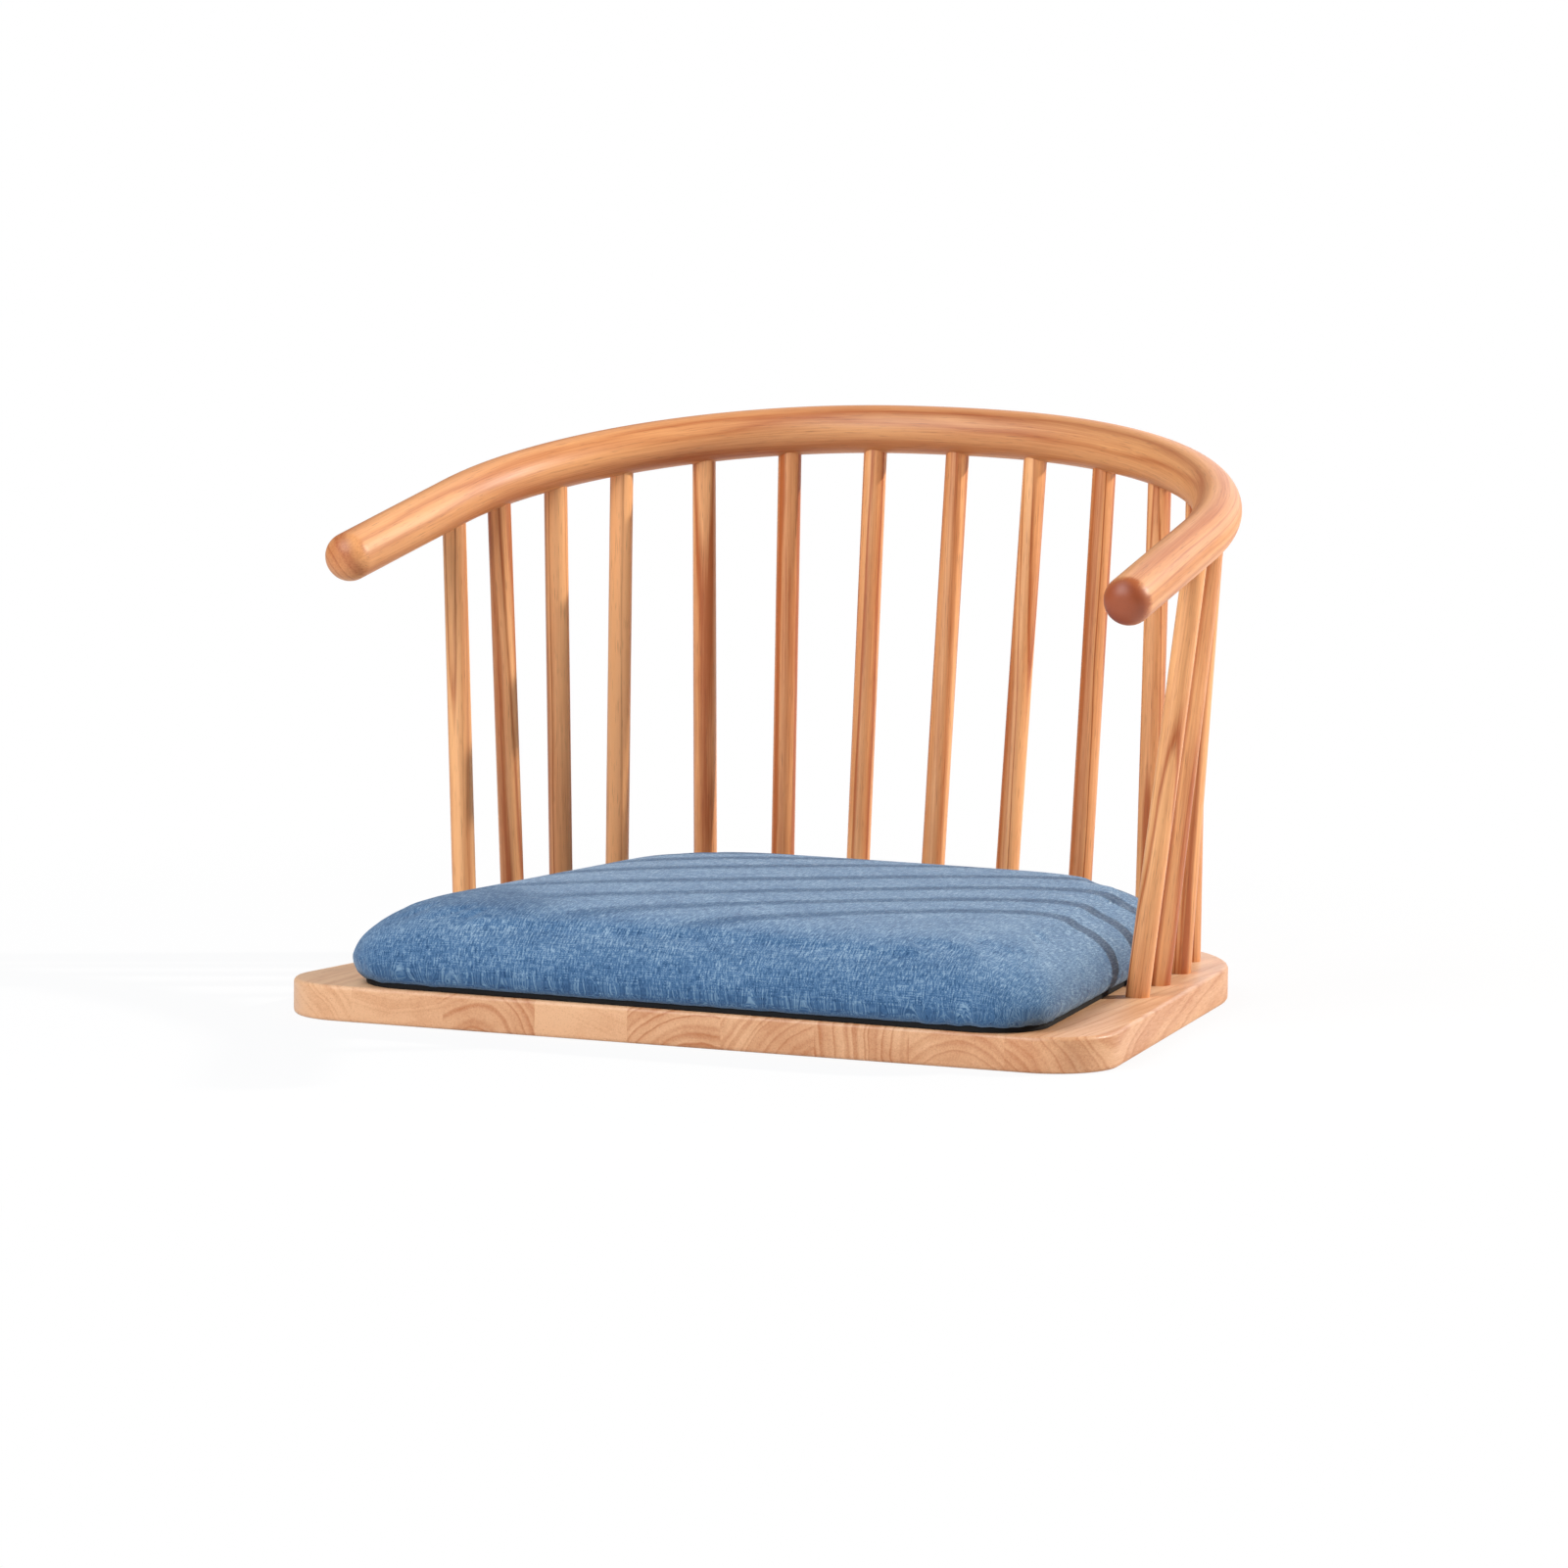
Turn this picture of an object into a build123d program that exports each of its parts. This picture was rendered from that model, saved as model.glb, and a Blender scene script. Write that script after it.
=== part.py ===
from build123d import *
import math
import os

# A legless bow-back floor chair. A flat seat board, glued up from staves, lies on the floor.
# Fifteen splayed spindles stand in blind sockets round its sides and back and carry one bent
# rail, which is the backrest and both arms. A loose upholstered pad lies on the board.
# Sizes are in millimetres. The origin is the middle of the board's underside, +Z is up, and
# the sitter faces -Y, so +X is on the left hand of someone sitting in the chair.

# Seat board
board_front_width = 600.0      # between the side edges, carried on to the front edge
board_rear_width = 470.0       # between the side edges, carried on to the rear edge
board_depth = 450.0            # front edge to the middle of the rear edge
board_rear_bow = 7.0           # the rear edge stands this far out in its middle
board_thickness = 24.0
board_front_radius = 45.0      # front corners, seen from above
board_rear_radius = 125.0      # rear corners, seen from above
board_edge_round = 3.0         # softened arris along the top and bottom edges
stave_count = 9                # boards glued edge to edge, with their grain front to back

# Rail: one round bar bent in a plane that falls towards the front
rail_diameter = 33.0
rail_back_height = 365.0       # centreline above the floor at the middle of the back
rail_fall = 9.9                # slope of the rail's plane, degrees
rail_back_overhang = 17.0      # centreline behind the rear edge of the board
rail_back_radius = 427.0       # gentle bend across the back
rail_back_angle = 6.0          # half of that bend, degrees
rail_side_radius = 253.0       # tighter bend from the back into each arm
rail_side_angle = 80.5         # turn of that bend, degrees
rail_arm_length = 160.0        # straight arm in front of the bend, to the tip
rail_tip_round = 14.0          # rounded nose on each arm

# Spindles: numbered from the sitter's right arm round the back to the left arm
spindle_diameter = 16.0
spindles_each_side = 7         # beside the one in the middle of the back
spindles_across_back = 3       # of those, the ones at the pitch of the back
base_inset = 25.5              # spindle axes inside the edge of the board
base_pitch_back = 55.0         # along the ring of sockets in the board
base_pitch_corner = 65.5
base_pitch_side = 59.0
top_pitch_back = 60.0          # along the rail's centreline
top_pitch_side = 54.0
board_tenon_length = 15.0      # glued in below the top face of the board
rail_tenon_length = 18.0       # glued in the rail, from its underside
glue_clearance = 0.1           # all round an end in its socket, filled by glue
socket_end_room = 1.0          # pocket for spare glue past the end of a spindle
socket_mouth = 12.0            # length of the cutter outside the wood

# Pad
pad_side_gap = 42.0            # widest line of the pad inside the side and rear edges of the board
pad_front_overhang = 3.0       # the widest line stands out this far over the front edge
pad_front_radius = 36.0        # front corners of the widest line
pad_front_radius_growth = 0.15 # they get rounder by this share of the inset
pad_rear_radius_fade = 0.15    # the rear corners get tighter by this share of it
pad_draw_in = 5.0              # the sides pull in under the widest line by this much
pad_widest_height = 18.0       # height of the widest line above the board
pad_edge_run = 55.0            # width of the rolled edge
pad_edge_rise = 33.0           # height of the rolled edge above the widest line
pad_crown = 7.5                # further rise from the rolled edge to the middle
pad_level_depth = 151.0        # the level middle of the crown, from front to back
under_steps = 2               # outlines that shape the drawn-in side
roll_steps = 4                 # outlines that shape the rolled edge
crown_steps = 4                # outlines that shape the crown
cover_thickness = 1.4
mat_thickness = 4.0            # black non-slip felt under the pad
mat_inset = 1.5                # felt inside the lowest line of the cover
pad_ply_thickness = 9.0
pad_ply_gap = 1.0              # between the cover and the edge of the plywood
cover_turn_under = 28.0        # hem of the cover under the plywood
staple_width = 10.0
staple_leg = 6.0
staple_wire = 0.9
staple_inset = 16.0            # staples inside the edge of the plywood
staple_pitch = 95.0

# Derived places
rear_edge_y = board_depth / 2
rear_corner_y = rear_edge_y - board_rear_bow
front_edge_y = -board_depth / 2
board_side_angle = math.atan2((board_front_width - board_rear_width) / 2, rear_corner_y - front_edge_y)
rear_arc_radius = ((board_rear_width / 2) ** 2 + board_rear_bow ** 2) / (2 * board_rear_bow)
rail_radius = rail_diameter / 2
spindle_radius = spindle_diameter / 2
pad_base_z = board_thickness
cover_base_z = pad_base_z + mat_thickness
rim_top_z = cover_base_z + cover_thickness
pad_depth = board_depth - pad_side_gap + pad_front_overhang
pad_crown_run = (pad_depth - pad_level_depth) / 2   # inset at which the crown is level
same_place = 0.01             # points nearer than this count as one


def half_width_at(y, inset):
    """Half the width between the side edges at y, moved inwards by inset."""
    taper = (y - front_edge_y) * math.tan(board_side_angle)
    return board_front_width / 2 - taper - inset / math.cos(board_side_angle)


def side_meets_arc(half_width, arc_radius, arc_centre_y):
    """The y at which a side edge, half_width from the middle at y = 0, meets the rear arc."""
    slope = math.tan(board_side_angle)
    square = 1 + slope ** 2
    middle = half_width * slope + arc_centre_y
    rest = half_width ** 2 + arc_centre_y ** 2 - arc_radius ** 2
    return (middle + math.sqrt(middle ** 2 - square * rest)) / square


def seat_outline(side_inset, front_inset, front_radius, rear_radius, z=0.0):
    """The board's outline, moved inwards, as a face at height z."""
    front_y = front_edge_y + front_inset
    arc_radius = rear_arc_radius - side_inset
    arc_centre_y = rear_edge_y - rear_arc_radius
    corner_y = side_meets_arc(half_width_at(0, side_inset), arc_radius, arc_centre_y)
    corner_x = half_width_at(corner_y, side_inset)
    front_x = half_width_at(front_y, side_inset)
    front_left = (-front_x, front_y)
    front_right = (front_x, front_y)
    rear_right = (corner_x, corner_y)
    rear_left = (-corner_x, corner_y)
    rear_middle = (0, arc_centre_y + arc_radius)
    with BuildSketch(Plane.XY.offset(z)) as drawing:
        with BuildLine():
            Line(front_left, front_right)
            Line(front_right, rear_right)
            ThreePointArc(rear_right, rear_middle, rear_left)
            Line(rear_left, front_left)
        make_face()
        corners = drawing.vertices().sort_by(Axis.Y)
        fillet(corners[:2], front_radius)
        corners = drawing.vertices().sort_by(Axis.Y)
        fillet(corners[-2:], rear_radius)
    return drawing.sketch.face()


def rear_run(outline):
    """The outline's edges from the middle of the back round to the front, on the +X side."""
    right_half = outline & Pos(board_front_width, 0, 0) * Box(
        2 * board_front_width, 2 * board_depth, 2 * board_thickness
    )
    front_y = outline.bounding_box().min.Y
    edges = []
    for edge in right_half.edges():
        on_axis = abs((edge @ 0.5).X) < same_place
        on_front = abs((edge @ 0.5).Y - front_y) < same_place
        if not on_axis and not on_front:
            edges.append(edge)
    run = Wire.combine(edges)[0]
    if abs((run @ 0).X) > abs((run @ 1).X):
        return run, True
    return run, False


def point_along(run, flipped, distance):
    """The point at a distance from the middle of the back."""
    along = run.length - distance if flipped else distance
    return run.position_at(along, position_mode=PositionMode.LENGTH)


def spaced(pitch_back, pitch_corner, pitch_side):
    """Distances of the spindles on one side from the middle of the back."""
    distances = [0.0]
    for number in range(1, spindles_each_side + 1):
        if number <= spindles_across_back:
            pitch = pitch_back
        elif number == spindles_across_back + 1:
            pitch = pitch_corner
        else:
            pitch = pitch_side
        distances.append(distances[-1] + pitch)
    return distances


def rail_plane():
    """The sloping plane that the rail is bent in, with its origin at the middle of the back."""
    fall = math.radians(rail_fall)
    return Plane(
        origin=(0, rear_edge_y + rail_back_overhang, rail_back_height),
        x_dir=(1, 0, 0),
        z_dir=(0, -math.sin(fall), math.cos(fall)),
    )


def rail_half_path():
    """Right half of the rail's centreline, from the middle of the back to the tip."""
    with BuildLine(rail_plane()) as path:
        back = JernArc((0, 0), (1, 0), rail_back_radius, -rail_back_angle)
        side = JernArc(back @ 1, back % 1, rail_side_radius, -rail_side_angle)
        Line(side @ 1, (side @ 1) + (side % 1) * rail_arm_length)
    return path.wire()


def spindle_axes():
    """Base and top points of all spindles, from the -X arm round to the +X arm."""
    base_ring = seat_outline(
        base_inset, base_inset, board_front_radius - base_inset, board_rear_radius - base_inset
    )
    base_run, base_flipped = rear_run(base_ring)
    rail_run = rail_half_path()
    base_distances = spaced(base_pitch_back, base_pitch_corner, base_pitch_side)
    top_distances = spaced(top_pitch_back, top_pitch_back, top_pitch_side)
    right_side = []
    for base_distance, top_distance in zip(base_distances, top_distances):
        base = point_along(base_run, base_flipped, base_distance)
        top = rail_run.position_at(top_distance, position_mode=PositionMode.LENGTH)
        right_side.append((Vector(base.X, base.Y, board_thickness), top))
    left_side = []
    for base, top in reversed(right_side[1:]):
        left_side.append((Vector(-base.X, base.Y, base.Z), Vector(-top.X, top.Y, top.Z)))
    return left_side + right_side


def rod_between(base, top, start, end, radius):
    """A round rod on the line from base to top, from start to end as measured from the base."""
    axis = (top - base).normalized()
    low_end = (Align.CENTER, Align.CENTER, Align.MIN)
    return Plane(origin=base + axis * start, z_dir=axis) * Cylinder(radius, end - start, align=low_end)


def make_spindle(base, top):
    """A spindle with its lower end in the board and its upper end in the rail."""
    rail_side = (top - base).length - rail_radius
    return rod_between(base, top, -board_tenon_length, rail_side + rail_tenon_length, spindle_radius)


def board_drill(base, top):
    """The cutter for a spindle's socket in the board."""
    bottom = -board_tenon_length - socket_end_room
    return rod_between(base, top, bottom, socket_mouth, spindle_radius + glue_clearance)


def rail_drill(base, top):
    """The cutter for a spindle's socket in the rail."""
    rail_side = (top - base).length - rail_radius
    bottom = rail_side + rail_tenon_length + socket_end_room
    return rod_between(base, top, rail_side - socket_mouth, bottom, spindle_radius + glue_clearance)


def make_board(axes):
    """The glued-up board with its sockets, before it is told apart into staves."""
    outline = seat_outline(0, 0, board_front_radius, board_rear_radius)
    board = extrude(outline, board_thickness)
    rims = board.faces().sort_by(Axis.Z)
    board = fillet(rims[0].edges() + rims[-1].edges(), board_edge_round)
    for base, top in axes:
        board = board - board_drill(base, top)
    return board


def make_staves(board):
    """The staves, from the -X side to the +X side, which meet face to face at their glue lines."""
    stave_width = board_front_width / stave_count
    staves = []
    for number in range(stave_count):
        middle_x = -board_front_width / 2 + (number + 0.5) * stave_width
        block = Pos(middle_x, 0, board_thickness / 2) * Box(
            stave_width, 2 * board_depth, 2 * board_thickness
        )
        staves.append(board & block)
    return staves


def make_rail(axes):
    """The bent rail with its rounded noses and a blind socket for each spindle."""
    half = rail_half_path()
    other_half = half.mirror(Plane.YZ)
    path = Wire.combine(half.edges() + other_half.edges())[0]
    section = Plane(origin=path @ 0, z_dir=path % 0) * Circle(rail_radius)
    rail = sweep(section, path=path)
    rims = rail.edges().filter_by(GeomType.CIRCLE)
    noses = [rim for rim in rims if rim.center().Y < 0]
    rail = fillet(noses, rail_tip_round)
    for base, top in axes:
        rail = rail - rail_drill(base, top)
    return rail


def crown_rise(inset):
    """Rise of the pad's crown at an inset from its widest line."""
    return pad_crown * (1 - (1 - inset / pad_crown_run) ** 2)


def pad_profile(skin):
    """Inset and height of the pad's surface, from its lowest line up to its level crown."""
    low_z = cover_base_z + skin
    widest_z = pad_base_z + pad_widest_height
    line = []
    for step in range(under_steps):
        part = step / under_steps
        line.append((pad_draw_in * (1 - part) ** 2, low_z + (widest_z - low_z) * part))
    for step in range(roll_steps):
        angle = math.pi / 2 * step / roll_steps
        inset = pad_edge_run * (1 - math.cos(angle))
        line.append((inset, widest_z + pad_edge_rise * math.sin(angle) + crown_rise(inset)))
    for step in range(crown_steps + 1):
        inset = pad_edge_run + (pad_crown_run - pad_edge_run) * step / crown_steps
        line.append((inset, widest_z + pad_edge_rise + crown_rise(inset)))
    surface = [(line[0][0] + skin, low_z)]
    for before, here, after in zip(line, line[1:], line[2:]):
        run = after[0] - before[0]
        rise = after[1] - before[1]
        slope = math.hypot(run, rise)
        surface.append((here[0] + skin * rise / slope, here[1] - skin * run / slope))
    surface.append((line[-1][0], line[-1][1] - skin))
    return surface


def pad_section(inset, z):
    """The pad's outline at an inset from its widest line."""
    front_inset = inset - pad_front_overhang
    front_radius = pad_front_radius + pad_front_radius_growth * inset
    rear_radius = board_rear_radius - pad_side_gap - pad_rear_radius_fade * inset
    return seat_outline(pad_side_gap + inset, front_inset, front_radius, rear_radius, z)


def pad_form(skin):
    """The crowned pad with drawn-in sides, made smaller all round by skin."""
    return loft([pad_section(inset, z) for inset, z in pad_profile(skin)], ruled=True)


def make_pad():
    """Cover, foam, plywood, felt and staples of the pad, by node name."""
    ply_inset = pad_draw_in + cover_thickness + pad_ply_gap
    mat = extrude(pad_section(pad_draw_in + mat_inset, pad_base_z), mat_thickness)
    ply = extrude(pad_section(ply_inset, rim_top_z), pad_ply_thickness)
    filling = pad_form(cover_thickness)
    hem_hole = extrude(pad_section(ply_inset + cover_turn_under, pad_base_z), 2 * mat_thickness)
    cover = pad_form(0) - filling - hem_hole
    foam = filling - ply
    staples = make_staples(pad_section(ply_inset + staple_inset, cover_base_z))
    cover = cover - staples
    ply = ply - staples
    return {
        "pad_cover": cover,
        "pad_foam": foam,
        "pad_plywood": ply,
        "pad_base_felt": mat,
        "pad_staples": staples,
    }


def make_staples(ring):
    """Staples that hold the hem of the cover to the plywood, along a ring."""
    wire = ring.outer_wire()
    count = round(wire.length / staple_pitch)
    crown = Pos(0, 0, staple_wire / 2) * Box(staple_width, staple_wire, staple_wire)
    legs = []
    for side in (-1, 1):
        leg_x = side * (staple_width - staple_wire) / 2
        legs.append(Pos(leg_x, 0, staple_leg / 2) * Box(staple_wire, staple_wire, staple_leg))
    staple = crown + legs
    placed = []
    for number in range(count):
        spot = wire.location_at((number + 0.5) / count)
        direction = wire.tangent_at((number + 0.5) / count)
        turn = math.degrees(math.atan2(direction.Y, direction.X))
        placed.append(Pos(spot.position.X, spot.position.Y, cover_base_z) * Rot(0, 0, turn) * staple)
    return Compound(children=[solid for item in placed for solid in item.solids()])


def main():
    os.makedirs("parts", exist_ok=True)
    axes = spindle_axes()
    nodes = {"bow_rail": make_rail(axes)}
    for number, stave in enumerate(make_staves(make_board(axes)), start=1):
        nodes[f"seat_stave_{number}"] = stave
    for number, (base, top) in enumerate(axes, start=1):
        nodes[f"spindle_{number:02d}"] = make_spindle(base, top)
    nodes.update(make_pad())
    for name, shape in nodes.items():
        export_step(shape, f"parts/{name}.step")
        print(name, len(shape.solids()), round(shape.volume / 1000, 2), "cm3")


main()
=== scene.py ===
import math
import random

import bmesh
import bpy
from mathutils import Matrix, Vector, noise


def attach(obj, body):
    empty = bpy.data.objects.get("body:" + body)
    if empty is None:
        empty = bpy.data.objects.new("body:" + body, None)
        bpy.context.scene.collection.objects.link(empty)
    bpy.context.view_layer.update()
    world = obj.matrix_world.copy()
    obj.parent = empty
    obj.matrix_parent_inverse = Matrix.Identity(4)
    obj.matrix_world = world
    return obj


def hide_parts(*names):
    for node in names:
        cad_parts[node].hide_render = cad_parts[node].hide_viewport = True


# A legless bow-back floor chair: glued-up seat board, fifteen splayed spindles, one bent rail
# and a loose woven pad. Places are in metres; the attributes that carry grain and cloth
# coordinates into the materials are in millimetres.
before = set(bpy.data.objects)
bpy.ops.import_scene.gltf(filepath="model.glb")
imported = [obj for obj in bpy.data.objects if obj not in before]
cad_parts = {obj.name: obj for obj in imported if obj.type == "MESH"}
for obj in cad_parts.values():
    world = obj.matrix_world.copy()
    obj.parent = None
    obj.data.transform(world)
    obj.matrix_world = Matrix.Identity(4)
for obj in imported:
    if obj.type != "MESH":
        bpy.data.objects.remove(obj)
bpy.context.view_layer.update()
print("frame loaded")

samePlace = 1e-6       # points nearer than this count as one
sharpTurn = 1.2        # faces that turn more than this, in radians, meet in an arris


# Helpers

def linearColour(text):
    channels = []
    for start in (0, 2, 4):
        value = int(text[start:start + 2], 16) / 255
        low = value / 12.92
        channels.append(low if value <= 0.04045 else ((value + 0.055) / 1.055) ** 2.4)
    return (*channels, 1.0)


def addNode(tree, kind, settings=None, values=None, links=None):
    node = tree.nodes.new(kind)
    for name, value in (settings or {}).items():
        setattr(node, name, value)
    for socket, value in (values or {}).items():
        node.inputs[socket].default_value = value
    for socket, source in (links or {}).items():
        tree.links.new(source, node.inputs[socket])
    return node


def setStops(node, stops):
    elements = node.color_ramp.elements
    while len(elements) < len(stops):
        elements.new(1.0)
    for element, (place, colour) in zip(elements, stops):
        element.position = place
        element.color = colour


def newMaterial(name):
    material = bpy.data.materials.new(name)
    material.use_nodes = True
    material.node_tree.nodes.clear()
    return material, material.node_tree


def addObject(name, data):
    item = bpy.data.objects.new(name, data)
    bpy.context.scene.collection.objects.link(item)
    return item


def makePiece(name, bm, material, body, nodes, sharpAngle=None):
    bmesh.ops.recalc_face_normals(bm, faces=bm.faces)
    mesh = bpy.data.meshes.new(name)
    bm.to_mesh(mesh)
    bm.free()
    mesh.shade_smooth()
    if sharpAngle:
        mesh.set_sharp_from_angle(angle=math.radians(sharpAngle))
    mesh.materials.append(material)
    piece = addObject(name, mesh)
    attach(piece, body)
    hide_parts(*nodes)


def setVectors(mesh, name, vectors):
    layer = mesh.attributes.new(name, "FLOAT_VECTOR", "POINT")
    layer.data.foreach_set("vector", [value for vector in vectors for value in vector])


def setNumbers(mesh, name, numbers):
    layer = mesh.attributes.new(name, "FLOAT", "POINT")
    layer.data.foreach_set("value", numbers)


def arrises(bm):
    return [edge for edge in bm.edges if edge.calc_face_angle(0) > sharpTurn]


def levelArrises(bm):
    return [edge for edge in arrises(bm) if abs(edge.verts[0].co.z - edge.verts[1].co.z) < samePlace]


def roundOff(bm, edges, width, steps):
    bmesh.ops.bevel(bm, geom=edges, offset=width, segments=steps, profile=0.5,
                    affect="EDGES", material=-1)


def raiseSlab(bm, ring, height):
    face = bmesh.ops.contextual_create(bm, geom=ring)["faces"]
    raised = bmesh.ops.extrude_face_region(bm, geom=face)["geom"]
    lifted = [item for item in raised if isinstance(item, bmesh.types.BMVert)]
    bmesh.ops.translate(bm, verts=lifted, vec=(0, 0, height))
    bmesh.ops.recalc_face_normals(bm, faces=bm.faces)


# Camera, at the place fitted to the photo's regular forms

cameraSettings = {
    "place": (2.8716, -6.5749, 1.0437),
    "yaw": 23.755,
    "pitch": 7.119,
    "roll": 0.556,
    "lens": 248.3,       # on a sensor 36 mm wide
    "reach": 60,         # how far it sees
}

camera = addObject("camera", bpy.data.cameras.new("camera"))
camera.data.lens = cameraSettings["lens"]
camera.data.clip_end = cameraSettings["reach"]
yawTurn = Matrix.Rotation(math.radians(cameraSettings["yaw"]), 4, "Z")
pitchTurn = Matrix.Rotation(math.radians(90 - cameraSettings["pitch"]), 4, "X")
rollTurn = Matrix.Rotation(math.radians(cameraSettings["roll"]), 4, "Z")
camera.matrix_world = Matrix.Translation(cameraSettings["place"]) @ yawTurn @ pitchTurn @ rollTurn
bpy.context.scene.camera = camera
bpy.context.scene.view_settings.view_transform = "Standard"


# Floor, world and lamps

stageSettings = {
    "floorSize": 30.0,
    "floorDrop": 0.0002,         # floor below the chair's underside
    "floorPaint": "E6E6E6",
    "floorGlow": (0.9, 1.0),     # share of plain white in what the camera sees, near and far
    "glowRun": (0.4, 1.0),       # between these distances from the chair
    "skyLevel": 0.25,
    "skyColour": "EEF3FF",
    "lampAim": 0.15,             # height that the lamps point at
}
lampSettings = {
    # name: (azimuth from +X towards +Y, elevation, distance, side, watts, colour)
    "keyLamp": (34, 28.5, 3.9, 0.08, 138, "FFF6EA"),
    "topBox": (-120, 60, 2.8, 1.6, 24, "E8F0FF"),
    "frontBox": (-105, 34, 3.4, 1.8, 72, "FCFDFF"),
    "backWall": (86, 26, 3.6, 3.0, 38, "FAFCFF"),
}


# Matt painted studio floor: it takes the chair's shadow, and the camera sees it nearly white
def makeFloor():
    material, tree = newMaterial("paleStudioFloor")
    path = addNode(tree, "ShaderNodeLightPath")
    place = addNode(tree, "ShaderNodeTexCoord")
    away = addNode(tree, "ShaderNodeVectorMath", {"operation": "LENGTH"}, None,
                   {0: place.outputs["Object"]})
    near, far = stageSettings["floorGlow"]
    start, end = stageSettings["glowRun"]
    glowing = addNode(tree, "ShaderNodeMapRange", {"interpolation_type": "SMOOTHSTEP"},
                      {"From Min": start, "From Max": end, "To Min": near, "To Max": far},
                      {"Value": away.outputs["Value"]})
    share = addNode(tree, "ShaderNodeMath", {"operation": "MULTIPLY"}, None,
                    {0: path.outputs["Is Camera Ray"], 1: glowing.outputs[0]})
    paint = addNode(tree, "ShaderNodeBsdfDiffuse", None,
                    {"Color": linearColour(stageSettings["floorPaint"])})
    glow = addNode(tree, "ShaderNodeEmission", None, {"Strength": 1.0})
    mix = addNode(tree, "ShaderNodeMixShader", None, None,
                  {0: share.outputs[0], 1: paint.outputs[0], 2: glow.outputs[0]})
    addNode(tree, "ShaderNodeOutputMaterial", None, None, {"Surface": mix.outputs[0]})
    bm = bmesh.new()
    bmesh.ops.create_grid(bm, x_segments=1, y_segments=1, size=stageSettings["floorSize"] / 2)
    mesh = bpy.data.meshes.new("floor")
    bm.to_mesh(mesh)
    bm.free()
    mesh.materials.append(material)
    floor = addObject("floor", mesh)
    floor.location.z = -stageSettings["floorDrop"]


# Pale room light on the chair, plain white behind it for the camera
def makeWorld():
    world = bpy.data.worlds.new("studio")
    bpy.context.scene.world = world
    world.use_nodes = True
    tree = world.node_tree
    tree.nodes.clear()
    path = addNode(tree, "ShaderNodeLightPath")
    room = addNode(tree, "ShaderNodeBackground", None,
                   {"Strength": stageSettings["skyLevel"],
                    "Color": linearColour(stageSettings["skyColour"])})
    back = addNode(tree, "ShaderNodeBackground", None,
                   {"Strength": 1.0, "Color": linearColour("FFFFFF")})
    mix = addNode(tree, "ShaderNodeMixShader", None, None,
                  {0: path.outputs["Is Camera Ray"], 1: room.outputs[0], 2: back.outputs[0]})
    addNode(tree, "ShaderNodeOutputWorld", None, None, {"Surface": mix.outputs[0]})


def makeLamp(name, azimuth, elevation, distance, side, watts, colour):
    light = bpy.data.lights.new(name, "AREA")
    light.color = linearColour(colour)[:3]
    light.shape = "SQUARE"
    light.size = side
    light.energy = watts
    lamp = addObject(name, light)
    turn, rise = math.radians(azimuth), math.radians(elevation)
    level = math.cos(rise)
    away = Vector((level * math.cos(turn), level * math.sin(turn), math.sin(rise)))
    lamp.location = Vector((0, 0, stageSettings["lampAim"])) + away * distance
    lamp.rotation_mode = "QUATERNION"
    lamp.rotation_quaternion = away.to_track_quat("Z", "Y")


makeFloor()
makeWorld()
for lampName, lampNumbers in lampSettings.items():
    makeLamp(lampName, *lampNumbers)
print("stage made")


# Wood. Sawn, sanded and lacquered orange-tan hardwood: growth rings that show as arcs on end
# grain and as long drawn-out streaks elsewhere, fine fibre and pores along the grain, each
# piece of timber a little lighter, redder or greyer than the next, satin lacquer over it all.

woodLooks = {
    # ring: growth ring in mm, ringShare: how strongly rings show, endTint: colour on end grain
    "lacqueredRailHardwood": {
        "light": "E8A466", "dark": "B46028", "pore": "7C4422", "endTint": "DDBFA6",
        "ring": 7.5, "ringShare": 0.5, "poreShare": 0.4,
        "rough": 0.5, "coat": 0.4, "coatRough": 0.48,
    },
    "lacqueredSeatHardwood": {
        "light": "EABE94", "dark": "C08052", "pore": "A0623A", "endTint": "FFF4EA",
        "ring": 8.5, "ringShare": 0.55, "poreShare": 0.5,
        "rough": 0.46, "coat": 0.15, "coatRough": 0.3,
    },
    "lacqueredSpindleHardwood": {
        "light": "FAB87A", "dark": "B6622C", "pore": "7C4420", "endTint": "F7E6D8",
        "ring": 6.5, "ringShare": 0.85, "poreShare": 0.4,
        "rough": 0.45, "coat": 0.2, "coatRough": 0.3,
    },
}
woodFigure = {
    # marks per mm across, across and along the grain
    "wander": (0.03, 0.03, 0.004),
    "fibre": (0.9, 0.9, 0.016),
    "pores": (1.5, 1.5, 0.07),
    "clouds": (0.035, 0.035, 0.006),
    "wanderBy": 9,               # mm that the rings wander sideways in all
    "unevenRings": (0.09, 3.0),  # how often, and by how many rings, their width changes
    "poreBand": (0.6, 0.74),
    "fibreShade": (0.9, -0.45),  # strength and shift towards the light colour
    "cloudShade": (1.1, -0.4),
    "glossSpread": 0.12,
    "relief": (0.25, 0.0003),    # strength and depth of the fibre
    "ringStops": ((0.0, 0.55), (0.12, 0.05), (0.55, 0.25), (0.86, 1.0), (1.0, 0.55)),
}


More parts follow.
